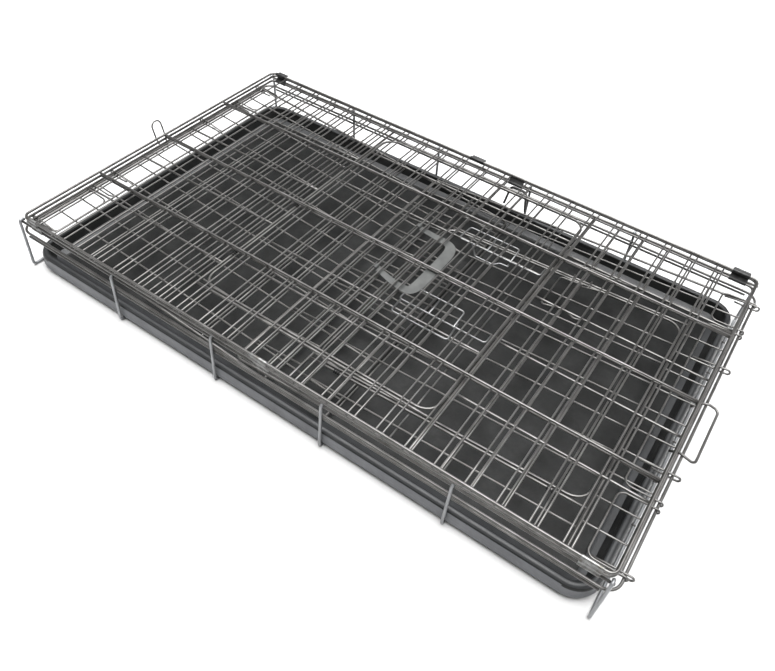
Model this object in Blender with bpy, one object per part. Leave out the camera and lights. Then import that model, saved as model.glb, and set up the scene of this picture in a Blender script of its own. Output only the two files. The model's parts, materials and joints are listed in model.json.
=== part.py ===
"""Folding wire dog crate, shown folded flat.

Metres, +Z up.  X runs along the long side, Y from the front rail to the back rail, and the
origin is on the floor under the middle of the crate.  From the floor up the stack is: base with
its tray, the two end panels folded inward, the front panel, the roof and the back panel.
"""
import bpy
import bmesh
from math import cos, pi, radians, sin
from mathutils import Matrix, Vector

# ---------------------------------------------------------------- wire sizes
# A drawn wire of diameter d is modelled as a square bar of the same sectional area.
SQUARE_PER_ROUND = 0.886
FRAME_WIRE = 0.0042 * SQUARE_PER_ROUND     # panel frames and rails
LEG_WIRE = 0.0045 * SQUARE_PER_ROUND       # U-shaped floor wires
LONG_WIRE = 0.0038 * SQUARE_PER_ROUND      # heavy wires along X
CROSS_WIRE = 0.0028 * SQUARE_PER_ROUND     # light wires
WELD = 0.0004                              # how far two welded wires sink into each other

# ---------------------------------------------------------------- base
BASE_HALF_X = 0.635            # end wires of the base ring
LEG_X = (-0.622, -0.366, -0.120, 0.120, 0.366, 0.622)
LEG_FOOT_Y = 0.3845            # a leg leans out a little towards the floor
RAIL_Y = 0.3735
RAIL_Z = 0.1085
RAIL_HALF_X = 0.628
RING_Z = 0.085
RING_CORNER = 0.024
FLOOR_WIRE_COUNT = 7
FLOOR_WIRE_SPAN_Y = 0.300
CUT_GAP = 0.0004                # gap where one bent wire is cut into two pieces

# ---------------------------------------------------------------- folded panels
PANEL_X0 = -0.600              # left end wire of the stacked panels
PANEL_X1 = 0.620
CROSS_FIRST = -0.559           # first light wire of the back panel
CROSS_COUNT = 22
PITCH = 0.053
CORNER = 0.008                 # bend of a panel frame at its corners
HINGE_STEP = 0.0095            # distance between two wires in one hinge clip
ROOF_SHIFT = -0.0135           # light wires of the roof against those of the back panel
FRONT_SHIFT = -0.006           # the same for the front panel
FIRST_CLEAR_X = -0.560         # light wires nearer the left end would foul the corner clips
STEP_BACK = 0.009              # how far the roof's rear edge lies behind that of the front panel
DOOR_CLEAR = 0.014             # between an edge wire and the nearest light wire
HEAVY_PER_PANEL = 3
ROWS_PER_FRONT = 4

FRONT_Z = RAIL_Z + HINGE_STEP
FRONT_Y0 = -RAIL_Y
FRONT_Y1 = 0.3525
ROOF_Z = FRONT_Z + HINGE_STEP
ROOF_Y0 = -0.3785
ROOF_Y1 = FRONT_Y1 + STEP_BACK
BACK_Z = ROOF_Z + HINGE_STEP
BACK_Y0 = ROOF_Y0
BACK_Y1 = 0.3535

# ---------------------------------------------------------------- side door, in the front panel
DOOR_X0 = -0.224
DOOR_X1 = 0.274
DOOR_Y0 = -0.289
DOOR_Y1 = 0.322
DOOR_CORNER = 0.030
DOOR_GAP = 0.007               # between the door's frame wire and the wire beside it
DOOR_LONG_Y = (-0.205, -0.127, -0.004, 0.120, 0.250)
HINGE_EYE_Y = (-0.197, -0.007, 0.159)

# ---------------------------------------------------------------- slide bolts of the side door
UPPER_BOLT_Y = (0.078, 0.160)
LOWER_BOLT_Y = (-0.140, -0.058)
BOLT_X0 = 0.085                # left end of the pull loop
BOLT_X1 = 0.205                # its right end, where the two bolts start
BOLT_PAST = 0.006              # how far the bolts reach past the opening's wire
BOLT_INSET = 0.024             # of each bolt from the side of the loop
STAY_INSET = (0.036, 0.026)    # of the two stays from the ends of the loop
LATCH_CORNER = 0.014

# ---------------------------------------------------------------- end panels
END_LENGTH = 0.735
END_HALF_Y = 0.345
END_START = 0.0074             # first wire of the panel, from the hinge axis
END_EYE_Y = (-0.338, -0.137, 0.137, 0.338)
LEFT_SLOPE = radians(5.15)
RIGHT_SLOPE = radians(-3.0)
END_WIRE_COUNT = 12
END_EYE_LENGTH = 0.010
END_HINGE_EYE_U = (0.150, 0.565)
END_CROSS_U = (0.150, 0.300, 0.450, 0.600)
END_DOOR_U0 = 0.095
END_DOOR_U1 = 0.620
END_DOOR_Y0 = -0.262
END_DOOR_Y1 = 0.206
END_DOOR_WIRES = 7
END_DOOR_CROSSES = 4
END_LATCH_X = (-0.345, -0.268)
END_LATCH_Y = (0.060, 0.178)
END_BOLT_X = (-0.325, -0.288)

# ---------------------------------------------------------------- tray
TRAY_X0 = -0.626
TRAY_X1 = 0.617
TRAY_HALF_Y = 0.3785
TRAY_Z0 = 0.0073
TRAY_HEIGHT = 0.0320
TRAY_SHEET = 0.0024
TRAY_CORNER = 0.050
TRAY_STEPS = 5
TRAY_RIM = 0.012               # width of the flat top of the rim
TRAY_SLOPE_RUN = 0.018         # how far the inner wall leans
SKIRT_LIFT = 0.003             # the skirt ends above the underside of the floor

# ---------------------------------------------------------------- small parts
CLIP_INNER = 0.0030
CLIP_OUTER = 0.0045
EYE_INNER = 0.0031
END_EYE_OUTER = 0.0062         # eyes of the end panels
LOOP_EYE_OUTER = 0.0048        # eyes of the tray stop and the left loop
CLIP_LENGTH = 0.034
LEFT_CLIP_LENGTH = 0.0285
LEFT_CLIP_X = -0.5762
RIGHT_CLIP_X = 0.5865
FRONT_MIDDLE_CLIP_X = -0.0090
REAR_MIDDLE_CLIP_X = 0.0920
DOOR_EYE_INNER = 0.0030
DOOR_EYE_OUTER = 0.0046
DOOR_EYE_LENGTH = 0.014
HOOK_LIP = 0.010
STOP_OUT = 0.0228              # how far the tray stop sticks out
STOP_Y0 = -0.094
STOP_Y1 = 0.040
STOP_CORNER = 0.007
STOP_EYE_INSET = 0.013
STOP_EYE_LENGTH = 0.008
LOOP_HEIGHT = 0.056
LOOP_WIDTH = 0.026
LOOP_Y = 0.010
LOOP_CORNER = 0.010
LOOP_LEAN = radians(24.0)      # the left loop leans outward from upright
BRACKET_X = 0.096
BRACKET_HALF_TOP = 0.018
BRACKET_HALF_FOOT = 0.027
BRACKET_SIDE = 0.006
BRACKET_DROP = 0.012           # its top below the rail
BRACKET_FOOT_Z = 0.048
BRACKET_BEND = 0.004
HANDLE_WIRE = 11               # number of the roof's light wire that the handle hangs on
HANDLE_Y = (-0.064, 0.078)
HANDLE_REACH = 0.088
HANDLE_SQUARE = (0.50, 0.75)   # a smaller power makes the bow squarer, along X and along Y
HANDLE_STEPS = 16
HANDLE_EYE_LENGTH = 0.012
HANDLE_WIDTH = 0.024
HANDLE_THICK = 0.0018
HANDLE_GAP = 0.0008            # below the roof's heavy wires
HANDLE_RISE = 0.030            # length over which the strap climbs to the wire it hangs on
HANDLE_EYE_INNER = 0.0023
HANDLE_EYE_OUTER = 0.0042

# name: (base colour, roughness, metallic)
FINISHES = {
    "black_wire": ((0.055, 0.056, 0.058), 0.38, 0.70),
    "zinc_clip": ((0.45, 0.45, 0.44), 0.36, 0.95),
    "black_clip": ((0.02, 0.02, 0.021), 0.42, 0.55),
    "tray_plastic": ((0.045, 0.046, 0.048), 0.55, 0.0),
    "handle_plastic": ((0.16, 0.16, 0.155), 0.50, 0.0),
}
BODIES = {}                    # body name: (its axis empty, that empty's world matrix)


# ================================================================ helpers
def clear_scene():
    for old in list(bpy.data.objects):
        bpy.data.objects.remove(old, do_unlink=True)


def finish_named(name):
    """The Principled material of that name, made on first use."""
    material = bpy.data.materials.get(name)
    if material is None:
        colour, roughness, metallic = FINISHES[name]
        material = bpy.data.materials.new(name)
        material.use_nodes = True
        shader = material.node_tree.nodes["Principled BSDF"]
        shader.inputs["Base Color"].default_value = (*colour, 1.0)
        shader.inputs["Roughness"].default_value = roughness
        shader.inputs["Metallic"].default_value = metallic
    return material


def add_body(name, origin, parent=None, slope=0.0):
    """An empty on the body's joint axis; the pieces of the body are its children."""
    empty = bpy.data.objects.new("axis_" + name, None)
    bpy.context.scene.collection.objects.link(empty)
    matrix = Matrix.Translation(Vector(origin)) @ Matrix.Rotation(slope, 4, "Y")
    if parent is None:
        empty.matrix_basis = matrix
    else:
        parent_empty, parent_matrix = BODIES[parent]
        empty.parent = parent_empty
        empty.matrix_basis = parent_matrix.inverted() @ matrix
    BODIES[name] = (empty, matrix)


def add_part(name, bodies_of_mesh, body, finish, local=False, smooth=False):
    """One object from one or more bmeshes, united where there are several.

    Meshes are in world coordinates, or in the body's own frame when local is true.
    """
    obj = object_from(bodies_of_mesh[0], name)
    for extra in bodies_of_mesh[1:]:
        obj = united(obj, object_from(extra, name + "_add"), name)
    empty, matrix = BODIES[body]
    if not local:
        obj.data.transform(matrix.inverted())
    obj.parent = empty
    obj.data.materials.clear()
    obj.data.materials.append(finish_named(finish))
    if smooth:
        obj.data.shade_smooth()
        obj.data.set_sharp_from_angle(angle=radians(35))
    return obj


def object_from(bm, name):
    mesh = bpy.data.meshes.new(name)
    bmesh.ops.recalc_face_normals(bm, faces=bm.faces)
    bm.to_mesh(mesh)
    bm.free()
    obj = bpy.data.objects.new(name, mesh)
    bpy.context.scene.collection.objects.link(obj)
    return obj


def united(obj, other, name):
    """The Boolean union of two objects, as one new object."""
    modifier = obj.modifiers.new("weld", "BOOLEAN")
    modifier.operation = "UNION"
    modifier.solver = "EXACT"
    modifier.object = other
    depsgraph = bpy.context.evaluated_depsgraph_get()
    mesh = bpy.data.meshes.new_from_object(obj.evaluated_get(depsgraph))
    bpy.data.objects.remove(obj, do_unlink=True)
    bpy.data.objects.remove(other, do_unlink=True)
    mesh.name = name
    joined = bpy.data.objects.new(name, mesh)
    bpy.context.scene.collection.objects.link(joined)
    return joined


def sweep(bm, points, side, normal, closed=False):
    """A square bar along a flat path; normal is square to the path's plane."""
    path = [Vector(p) for p in points]
    normal = Vector(normal).normalized()
    half = side / 2
    count = len(path)
    sections = []
    for i, point in enumerate(path):
        before = path[i - 1] if closed or i else None
        after = path[(i + 1) % count] if closed or i < count - 1 else None
        t_in = (point - before).normalized() if before else (after - point).normalized()
        t_out = (after - point).normalized() if after else t_in
        across_in = normal.cross(t_in)
        across = (across_in + normal.cross(t_out)).normalized()
        across *= half / across.dot(across_in)
        corners = [point + across + normal * half, point - across + normal * half,
                   point - across - normal * half, point + across - normal * half]
        sections.append([bm.verts.new(c) for c in corners])
    last = count if closed else count - 1
    for i in range(last):
        a = sections[i]
        b = sections[(i + 1) % count]
        for k in range(4):
            n = (k + 1) % 4
            bm.faces.new((a[k], a[n], b[n], b[k]))
    if not closed:
        bm.faces.new(sections[0][::-1])
        bm.faces.new(sections[-1])


def rounded_rectangle(x0, x1, y0, y1, radius, z, steps=3):
    """Corner points of a rectangle with round corners, in order, in one plane."""
    points = []
    centres = ((x1 - radius, y1 - radius, 0), (x0 + radius, y1 - radius, 1),
               (x0 + radius, y0 + radius, 2), (x1 - radius, y0 + radius, 3))
    for cx, cy, quarter in centres:
        for i in range(steps + 1):
            angle = pi / 2 * (quarter + i / steps)
            points.append((cx + radius * cos(angle), cy + radius * sin(angle), z))
    return points


def bars(segments, side, normal=(0, 0, 1)):
    """A bmesh of straight bars, one for each pair of points."""
    bm = bmesh.new()
    for start, end in segments:
        sweep(bm, (start, end), side, normal)
    return bm


def ring(points, side, normal=(0, 0, 1)):
    bm = bmesh.new()
    sweep(bm, points, side, normal, closed=True)
    return bm


def tube_between(first, second, inner, outer, x0, x1, steps=4):
    """A flattened tube along X round two parallel wires at (y, z) points."""
    return extruded_band(stadium(first, second, inner, steps),
                         stadium(first, second, outer, steps), x0, x1)


def stadium(first, second, radius, steps):
    """Outline, in the plane across X, of a band of that radius round two points."""
    a = Vector(first)
    b = Vector(second)
    apart = (b - a).length > 0
    along = (b - a).normalized() if apart else Vector((1.0, 0.0))
    across = Vector((-along.y, along.x))
    outline = []
    for centre, sign in ((b, 1.0), (a, -1.0)):
        for i in range(steps + 1 if apart else steps):
            angle = pi * i / steps - pi / 2
            offset = along * cos(angle) * sign + across * sin(angle) * sign
            outline.append(centre + offset * (radius / cos(pi / steps / 2)))
    return outline


def extruded_band(inside, outside, x0, x1):
    """A closed solid between two outlines of the same count, from x0 to x1."""
    bm = bmesh.new()
    loops = []
    for x in (x0, x1):
        for outline in (inside, outside):
            loops.append([bm.verts.new((x, p.x, p.y)) for p in outline])
    in0, out0, in1, out1 = loops
    count = len(inside)
    for i in range(count):
        n = (i + 1) % count
        bm.faces.new((out0[i], out0[n], out1[n], out1[i]))
        bm.faces.new((in0[n], in0[i], in1[i], in1[n]))
        bm.faces.new((in0[i], in0[n], out0[n], out0[i]))
        bm.faces.new((in1[n], in1[i], out1[i], out1[n]))
    return bm


def eye_along_y(x, z, y_middle, length, inner, outer, steps=4):
    """A short tube along Y, round a wire at (x, z)."""
    bm = tube_between((0.0, 0.0), (0.0, 0.0), inner, outer, -length / 2, length / 2, steps)
    turn = Matrix.Rotation(pi / 2, 4, "Z")
    bmesh.ops.transform(bm, verts=bm.verts, matrix=Matrix.Translation((x, y_middle, z)) @ turn)
    return bm


def merged(meshes):
    """Several bmeshes that do not touch, in one."""
    bm = bmesh.new()
    for extra in meshes:
        holder = bpy.data.meshes.new("holder")
        extra.to_mesh(holder)
        extra.free()
        bm.from_mesh(holder)
        bpy.data.meshes.remove(holder)
    return bm


def loft(rings):
    """A closed solid through rings of equal point count, capped at both ends."""
    bm = bmesh.new()
    loops = [[bm.verts.new(p) for p in points] for points in rings]
    count = len(loops[0])
    for a, b in zip(loops, loops[1:]):
        for i in range(count):
            n = (i + 1) % count
            bm.faces.new((a[i], a[n], b[n], b[i]))
    bm.faces.new(loops[0][::-1])
    bm.faces.new(loops[-1])
    return bm


# ================================================================ welded grilles
def weld_step(first_side, second_side):
    """Distance between the middles of two wires welded across each other."""
    return (first_side + second_side) / 2 - WELD


def grille(name, box, z, long_ys, cross_xs, body, corner=CORNER, local=False, eyes=None,
           long_side=LONG_WIRE, cross_face=-1):
    """A flat welded panel: frame wire, long wires along X, light wires across them along Y.

    The light wires lie under the others, or on them when cross_face is 1.
    """
    x0, x1, y0, y1 = box
    cross_z = z + cross_face * weld_step(FRAME_WIRE, CROSS_WIRE)
    overlap = CROSS_WIRE / 4
    frame = ring(rounded_rectangle(x0, x1, y0, y1, corner, z), FRAME_WIRE)
    meshes = [frame]
    if long_ys:
        meshes.append(bars([((x0, y, z), (x1, y, z)) for y in long_ys], long_side))
    if cross_xs:
        meshes.append(bars([((x, y0 - overlap, cross_z), (x, y1 + overlap, cross_z))
                            for x in cross_xs], CROSS_WIRE))
    if eyes:
        meshes.append(merged(eyes))
    return add_part(name, meshes, body, "black_wire", local=local)


def between(x0, x1, shift=0.0):
    """Places of the light wires between two end wires, on the panels' common pitch."""
    places = [CROSS_FIRST + PITCH * i + shift for i in range(CROSS_COUNT)]
    return [x for x in places if x0 < x < x1]


def spread(low, high, count):
    """Evenly spaced values strictly between low and high."""
    return [low + (high - low) * (i + 1) / (count + 1) for i in range(count)]


# ================================================================ base
def base_floor():
    """The flat part of the U-shaped wires, with long wires lying on them."""
    z = LEG_WIRE / 2
    reach = LEG_FOOT_Y - LEG_WIRE / 2 - CUT_GAP
    long_z = z + weld_step(LEG_WIRE, LONG_WIRE)
    long_ys = [-FLOOR_WIRE_SPAN_Y + 2 * FLOOR_WIRE_SPAN_Y * i / (FLOOR_WIRE_COUNT - 1)
               for i in range(FLOOR_WIRE_COUNT)]
    end = LEG_X[-1] + LEG_WIRE / 4
    cross = bars([((x, -reach, z), (x, reach, z)) for x in LEG_X], LEG_WIRE)
    long = bars([((-end, y, long_z), (end, y, long_z)) for y in long_ys], LONG_WIRE)
    add_part("base_floor_grid", [cross, long], "base", "black_wire")


def leg_y(z):
    """Distance of a leg from the middle of the crate at height z."""
    top = RAIL_Y + weld_step(LEG_WIRE, FRAME_WIRE)
    return LEG_FOOT_Y + (top - LEG_FOOT_Y) * z / RAIL_Z


def ring_y():
    """The ring wire runs just inside the leaning legs."""
    return leg_y(RING_Z) - weld_step(LEG_WIRE, FRAME_WIRE)


def base_wall(name, sign):
    """Bent-up legs with the ring wire and the top rail welded inside them."""
    foot = CUT_GAP
    top = RAIL_Z + FRAME_WIRE / 2
    legs = bars([((x, sign * leg_y(foot), foot), (x, sign * leg_y(top), top))
                 for x in LEG_X], LEG_WIRE, normal=(1, 0, 0))
    ring_end = BASE_HALF_X - RING_CORNER - CUT_GAP
    wires = bars([((-RAIL_HALF_X, sign * RAIL_Y, RAIL_Z), (RAIL_HALF_X, sign * RAIL_Y, RAIL_Z)),
                  ((-ring_end, sign * ring_y(), RING_Z), (ring_end, sign * ring_y(), RING_Z))],
                 FRAME_WIRE)
    add_part(name, [wires, legs], "base", "black_wire")


def base_end(name, sign):
    """End wire of the ring with its two bent corners, which the end panel hinges on."""
    points = []
    for side in (-1, 1):
        arc = []
        for i in range(5):
            angle = pi / 2 * i / 4
            arc.append((sign * (BASE_HALF_X - RING_CORNER + RING_CORNER * cos(angle)),
                        side * (ring_y() - RING_CORNER + RING_CORNER * sin(angle)), RING_Z))
        points.append(arc)
    path = points[0][::-1] + points[1]
    bm = bmesh.new()
    sweep(bm, path, FRAME_WIRE, (0, 0, 1))
    add_part(name, [bm], "base", "black_wire")


def tray_rim_profile():
    """Section of the rim: (distance in from the outer edge, height) round its closed outline."""
    z0 = TRAY_Z0
    top = z0 + TRAY_HEIGHT
    t = TRAY_SHEET
    skirt_z = z0 + SKIRT_LIFT
    foot = TRAY_RIM + TRAY_SLOPE_RUN
    return [(foot - t, z0), (TRAY_RIM, top - t - 0.003), (TRAY_RIM - 0.002, top - t),
            (t + 0.003, top - t), (t, top - t - 0.004), (t, skirt_z), (0.0, skirt_z),
            (0.0, top - 0.005), (0.004, top), (TRAY_RIM, top),
            (TRAY_RIM + 0.003, top - 0.003), (foot, z0 + t), (foot, z0)]


def tray_rim(name, stations):
    """One length of the rim, through (x, y, angle outward) stations on the tray's outline."""
    rings = []
    for x, y, angle in stations:
        out_x, out_y = cos(angle), sin(angle)
        rings.append([(x - out_x * inset, y - out_y * inset, z) for inset, z in tray_rim_profile()])
    add_part(name, [loft(rings)], "tray", "tray_plastic", smooth=True)


def tray():
    """Moulded pan with a rolled rim; its floor and each length of rim is a node of its own."""
    inset = TRAY_RIM + TRAY_SLOPE_RUN + CUT_GAP
    outline = (TRAY_X0 + inset, TRAY_X1 - inset, inset - TRAY_HALF_Y, TRAY_HALF_Y - inset)
    plate = [rounded_rectangle(*outline, TRAY_CORNER - inset, z, TRAY_STEPS)
             for z in (TRAY_Z0, TRAY_Z0 + TRAY_SHEET)]
    add_part("tray_floor", [loft(plate)], "tray", "tray_plastic")
    right = TRAY_X1 - TRAY_CORNER
    left = TRAY_X0 + TRAY_CORNER
    back = TRAY_HALF_Y - TRAY_CORNER
    for name, cx, cy, quarter in (("back_right", right, back, 0), ("back_left", left, back, 1),
                                  ("front_left", left, -back, 2), ("front_right", right, -back, 3)):
        stations = []
        for i in range(TRAY_STEPS + 1):
            angle = pi / 2 * (quarter + i / TRAY_STEPS)
            stations.append((cx + TRAY_CORNER * cos(angle), cy + TRAY_CORNER * sin(angle), angle))
        tray_rim("tray_corner_" + name, stations)
    for name, y, angle in (("back", TRAY_HALF_Y, pi / 2), ("front", -TRAY_HALF_Y, -pi / 2)):
        tray_rim("tray_rim_" + name, [(left + CUT_GAP, y, angle), (right - CUT_GAP, y, angle)])
    for name, x, angle in (("right", TRAY_X1, 0.0), ("left", TRAY_X0, pi)):
        tray_rim("tray_rim_" + name, [(x, CUT_GAP - back, angle), (x, back - CUT_GAP, angle)])


def tray_stop():
    """Wire loop on the right end wire that holds the tray in."""
    axis = Vector((BASE_HALF_X, 0.0, RING_Z))
    inner = axis.x + LOOP_EYE_OUTER + WELD
    outer = axis.x + STOP_OUT
    loop = ring(rounded_rectangle(inner, outer, STOP_Y0, STOP_Y1, STOP_CORNER, axis.z),
                LONG_WIRE)
    eyes = merged([eye_along_y(axis.x, axis.z, y, STOP_EYE_LENGTH, EYE_INNER, LOOP_EYE_OUTER)
                   for y in (STOP_Y0 + STOP_EYE_INSET, STOP_Y1 - STOP_EYE_INSET)])
    add_part("tray_stop", [loop, eyes], "tray_stop", "black_wire")


def left_loop():
    """Narrow wire loop on the left end wire, leaning outward."""
    y0 = LOOP_Y - LOOP_WIDTH / 2
    y1 = LOOP_Y + LOOP_WIDTH / 2
    outline = rounded_rectangle(LOOP_EYE_OUTER, LOOP_HEIGHT, y0, y1, LOOP_CORNER, 0.0)
    loop = ring(outline, CROSS_WIRE)
    eye = eye_along_y(0.0, 0.0, LOOP_Y, END_EYE_LENGTH, EYE_INNER, LOOP_EYE_OUTER)
    for bm in (loop, eye):
        bmesh.ops.transform(bm, verts=bm.verts,
                            matrix=Matrix.Rotation(-pi / 2 - LOOP_LEAN, 4, "Y"))
    add_part("left_loop", [loop, eye], "left_loop", "black_wire", local=True)


def rear_bracket():
    """Black strap bent into an inverted U, hung inside the back wall."""
    y = ring_y() - FRAME_WIRE / 2 - CUT_GAP - BRACKET_SIDE / 2
    top = RAIL_Z - BRACKET_DROP
    half = []
    for sign in (-1, 1):
        half.append([(BRACKET_X + sign * BRACKET_HALF_FOOT, y, BRACKET_FOOT_Z),
                     (BRACKET_X + sign * BRACKET_HALF_TOP, y, top - BRACKET_BEND),
                     (BRACKET_X + sign * (BRACKET_HALF_TOP - BRACKET_BEND), y, top)])
    path = half[0] + half[1][::-1]
    bm = bmesh.new()
    sweep(bm, path, BRACKET_SIDE, (0, 1, 0))
    add_part("rear_bracket", [bm], "base", "black_clip")


# ================================================================ stacked panels
def front_panel():
    """The front panel, as four welded grilles round the side-door opening."""
    door_left = side_door_axis()
    door_right = DOOR_X1 + DOOR_GAP
    rows = spread(FRONT_Y0, FRONT_Y1, ROWS_PER_FRONT)
    grille("front_panel_left", (PANEL_X0, door_left, FRONT_Y0, FRONT_Y1), FRONT_Z, rows,
           between(FIRST_CLEAR_X, door_left - DOOR_CLEAR, FRONT_SHIFT), "front_panel")
    grille("front_panel_right", (door_right, PANEL_X1, FRONT_Y0, FRONT_Y1), FRONT_Z, rows,
           between(door_right + DOOR_CLEAR, PANEL_X1 - DOOR_CLEAR, FRONT_SHIFT), "front_panel")
    x0 = door_left + FRAME_WIRE + CUT_GAP
    x1 = door_right - FRAME_WIRE - CUT_GAP
    crosses = between(x0 + DOOR_CLEAR, x1 - DOOR_CLEAR, FRONT_SHIFT)
    grille("front_panel_sill", (x0, x1, FRONT_Y0, DOOR_Y0 - DOOR_GAP), FRONT_Z, [], crosses,
           "front_panel")
    grille("front_panel_header", (x0, x1, DOOR_Y1 + DOOR_GAP, FRONT_Y1), FRONT_Z, [], crosses,
           "front_panel", corner=CORNER * 0.75)


def side_door():
    """The side door, flush in the front panel, with its hinge eyes and two slide bolts."""
    crosses = [x for x in between(DOOR_X0, DOOR_X1, FRONT_SHIFT)
               if DOOR_X0 + DOOR_CORNER < x < DOOR_X1 - DOOR_CORNER]
    grille("side_door", (DOOR_X0, DOOR_X1, DOOR_Y0, DOOR_Y1), FRONT_Z, DOOR_LONG_Y, crosses,
           "side_door", corner=DOOR_CORNER)
    axis_x = side_door_axis()
    for i, y in enumerate(HINGE_EYE_Y):
        tube = eye_along_y(axis_x, FRONT_Z, y, DOOR_EYE_LENGTH, DOOR_EYE_INNER, DOOR_EYE_OUTER)
        add_part("door_hinge_eye_%d" % (i + 1), [tube], "side_door", "black_wire")


def side_door_axis():
    return DOOR_X0 - DOOR_GAP


def slide_bolt(name, y0, y1):
    """A wire pull loop whose two ends slide over the door frame as bolts."""
    bolt_z = FRONT_Z + (FRAME_WIRE + CROSS_WIRE) / 2 + CUT_GAP
    z = bolt_z + CUT_GAP * 0.75
    tip = DOOR_X1 + DOOR_GAP + BOLT_PAST
    loop = ring(rounded_rectangle(BOLT_X0, BOLT_X1, y0, y1, LATCH_CORNER, z), CROSS_WIRE)
    rods = bars([((BOLT_X1, y, bolt_z), (tip, y, bolt_z))
                 for y in (y0 + BOLT_INSET, y1 - BOLT_INSET)], CROSS_WIRE)
    stays = bars([((x, y0, bolt_z), (x, y1, bolt_z))
                  for x in (BOLT_X0 + STAY_INSET[0], BOLT_X1 - STAY_INSET[1])], CROSS_WIRE)
    add_part(name, [loop, rods, stays], name, "black_wire")


def roof():
    grille("roof_panel", (PANEL_X0, PANEL_X1, ROOF_Y0, ROOF_Y1), ROOF_Z,
           spread(ROOF_Y0, ROOF_Y1, HEAVY_PER_PANEL),
           between(FIRST_CLEAR_X, PANEL_X1, ROOF_SHIFT), "roof", cross_face=1)


def back_panel():
    grille("back_panel", (PANEL_X0, PANEL_X1, BACK_Y0, BACK_Y1), BACK_Z,
           spread(BACK_Y0, BACK_Y1, HEAVY_PER_PANEL), between(PANEL_X0, PANEL_X1), "back_panel")


def handle_axis():
    """The roof's light wire that the handle swings on, as (x, z)."""
    return (CROSS_FIRST + PITCH * HANDLE_WIRE + ROOF_SHIFT, ROOF_Z + weld_step(FRAME_WIRE, CROSS_WIRE))


def handle():
    """Plastic strap bowed like a C, lying flat under the roof, hooked on one wire."""
    axis_x, axis_z = handle_axis()
    flat_z = ROOF_Z - LONG_WIRE / 2 - HANDLE_GAP - HANDLE_THICK / 2
    end_z = axis_z - (HANDLE_EYE_INNER + HANDLE_EYE_OUTER) / 2 - HANDLE_THICK / 4
    y0, y1 = HANDLE_Y
    middle = (y0 + y1) / 2
    half = (y1 - y0) / 2
    path = []
    for i in range(HANDLE_STEPS + 1):
        angle = -pi / 2 + pi * i / HANDLE_STEPS
        side = 1 if angle > 0 else -1
        reach = HANDLE_REACH * max(cos(angle), 0.0) ** HANDLE_SQUARE[0]
        aside = side * half * abs(sin(angle)) ** HANDLE_SQUARE[1]
        share = min(1.0, reach / HANDLE_RISE)
        z = end_z + (flat_z - end_z) * (3 * share ** 2 - 2 * share ** 3)
        path.append((axis_x + reach, middle + aside, z))
    eyes = merged([eye_along_y(axis_x, axis_z, y, HANDLE_EYE_LENGTH, HANDLE_EYE_INNER,
                               HANDLE_EYE_OUTER) for y in HANDLE_Y])
    add_part("carry_handle", [strap(path), eyes], "carry_handle", "handle_plastic")


def strap(path):
    """A flat strap lying along the path, narrower at both ends."""
    points = [Vector(p) for p in path]
    last = len(points) - 1
    lift = Vector((0, 0, HANDLE_THICK / 2))
    rings = []
    for i, point in enumerate(points):
        along = points[min(i + 1, last)] - points[max(i - 1, 0)]
        across = Vector((0, 0, 1)).cross(along).normalized()
        across *= HANDLE_WIDTH / 2 * (0.4 if i in (0, last) else 1.0)
        rings.append((point + across + lift, point - across + lift,
                      point - across - lift, point + across - lift))
    return loft(rings)


# ================================================================ hinge clips
def clip(name, body, first, second, x, finish, length=CLIP_LENGTH):
    """A sheet-metal clip round two parallel wires at (y, z) points."""
    tube = tube_between(first, second, CLIP_INNER, CLIP_OUTER, x - length / 2, x + length / 2)
    add_part(name, [tube], body, finish)


def hinge_clips():
    rail = (-RAIL_Y, RAIL_Z)
    front_low = (FRONT_Y0, FRONT_Z)
    front_top = (FRONT_Y1, FRONT_Z)
    roof_front = (ROOF_Y0, ROOF_Z)
    roof_rear = (ROOF_Y1, ROOF_Z)
    back_top = (BACK_Y0, BACK_Z)
    for tag, x, rear_x, length in (("left", LEFT_CLIP_X, LEFT_CLIP_X, LEFT_CLIP_LENGTH),
                                   ("middle", FRONT_MIDDLE_CLIP_X, REAR_MIDDLE_CLIP_X, CLIP_LENGTH),
                                   ("right", RIGHT_CLIP_X, RIGHT_CLIP_X, CLIP_LENGTH)):
        clip("rail_clip_" + tag, "base", rail, front_low, x, "zinc_clip", length)
        clip("roof_clip_" + tag, "roof", roof_front, back_top, x, "zinc_clip", length)
        clip("rear_clip_" + tag, "front_panel", front_top, roof_rear, rear_x, "black_clip", length)
        back_hook("back_hook_" + tag, x, length)


def back_hook(name, x, length):
    """Sleeve on the free edge of the back panel, with an open lip for the base's back rail."""
    half = length / 2
    centre = (BACK_Y1, BACK_Z)
    tube = tube_between(centre, centre, CLIP_INNER, CLIP_OUTER, x - half, x + half)
    thick = CLIP_OUTER - CLIP_INNER
    lip = bmesh.new()
    middle = Vector((x, BACK_Y1 + CLIP_INNER + thick / 2 + HOOK_LIP / 2, BACK_Z - thick))
    size = Matrix.Diagonal((length - 0.004, HOOK_LIP, thick, 1.0))
    bmesh.ops.create_cube(lip, size=1.0, matrix=Matrix.Translation(middle) @ size)
    add_part(name, [tube, lip], "back_panel", "black_clip")


# ================================================================ end panels
def end_grille(name, body, sign, box, cross_us, long_ys, eyes=False):
    """A grille in its end panel's own frame, reaching u0 to u1 from the hinge, towards sign."""
    u0, u1, y0, y1 = box
    x0, x1 = sorted((sign * u0, sign * u1))
    tubes = [eye_along_y(0.0, 0.0, y, END_EYE_LENGTH, EYE_INNER, END_EYE_OUTER)
             for y in END_EYE_Y] if eyes else None
    grille(name, (x0, x1, y0, y1), 0.0, long_ys, [sign * u for u in cross_us], body,
           local=True, eyes=tubes, long_side=CROSS_WIRE)


def end_wires():
    return spread(-END_HALF_Y, END_HALF_Y, END_WIRE_COUNT)


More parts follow.
